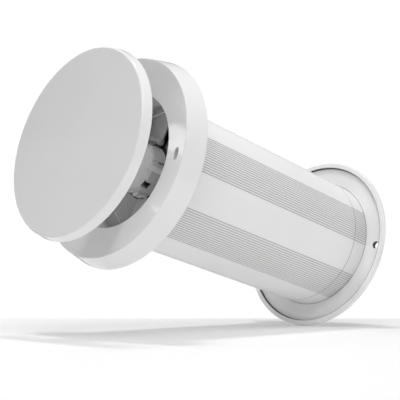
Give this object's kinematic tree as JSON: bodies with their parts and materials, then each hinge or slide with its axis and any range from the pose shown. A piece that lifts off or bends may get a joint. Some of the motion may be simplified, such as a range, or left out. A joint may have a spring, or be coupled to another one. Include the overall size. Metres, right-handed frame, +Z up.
{
  "type": "through-wall extractor fan",
  "caption": "Round through-wall extractor fan: flat cover disc on a sliding stem, tapered ring housing, ribbed duct with fan and heat recovery core, dished outer flange.",
  "frame": {"origin": "centre of the duct axis in the plane of the wall's room side, where the ring housing's back meets the wall", "axes": "-Y points into the room along the duct axis, +Y through the wall to the outside, +Z up, +X right seen from the room"},
  "size_m": [0.2356, 0.4176, 0.2356],
  "materials": {
    "white_plastic": "satin",
    "white_tube": "matte",
    "stem_plastic": "satin",
    "clip_plastic": "gloss",
    "sleeve_plastic": "satin",
    "grey_plastic": "satin",
    "impeller_plastic": "satin",
    "foam": "matte",
    "insulation": "matte",
    "filter_fleece": "matte",
    "ceramic": "matte",
    "steel": "satin",
    "zinc_screw": "satin",
    "bearing_steel": "polished",
    "magnet": "matte",
    "copper": "gloss",
    "board_green": "satin",
    "terminal_plastic": "satin"
  },
  "bodies": {
    "casing": {"room_housing": "white_plastic", "mouth_liner": "white_plastic", "wall_gasket": "foam", "control_board": "board_green", "terminal_block": "terminal_plastic", "cable_clamp": "terminal_plastic", "board_screws": "zinc_screw", "stem_sleeve": "sleeve_plastic", "guide_vanes": "grey_plastic", "stem_clips": "clip_plastic", "fan_shroud": "grey_plastic", "front_bearing": "bearing_steel", "rear_bearing": "bearing_steel", "stator_core": "steel", "stator_windings": "copper", "motor_board": "board_green", "wall_tube": "white_tube", "end_collar": "white_tube", "core_sleeve": "insulation", "room_filter": "filter_fleece", "core_front_grid": "grey_plastic", "heat_core": "ceramic", "core_rear_grid": "grey_plastic", "outdoor_filter": "filter_fleece", "outer_flange": "white_plastic", "insect_screen": "steel", "weather_grille": "white_plastic"},
    "cover": {"front_disc": "white_plastic", "disc_foam": "foam", "disc_backplate": "white_plastic", "disc_stem": "stem_plastic", "stem_screws": "zinc_screw"},
    "rotor": {"impeller": "impeller_plastic", "rotor_cup": "steel", "rotor_magnet": "magnet", "rotor_shaft": "bearing_steel"}
  },
  "joints": [
    {"name": "disc_slide", "type": "slide", "parent": "casing", "child": "cover", "axis": [0, 1, 0], "range_m": [0, 0.04]},
    {"name": "impeller_spin", "type": "hinge", "parent": "casing", "child": "rotor", "pos_m": [0, 0.08, 0], "axis": [0, 1, 0], "continuous": true}
  ]
}
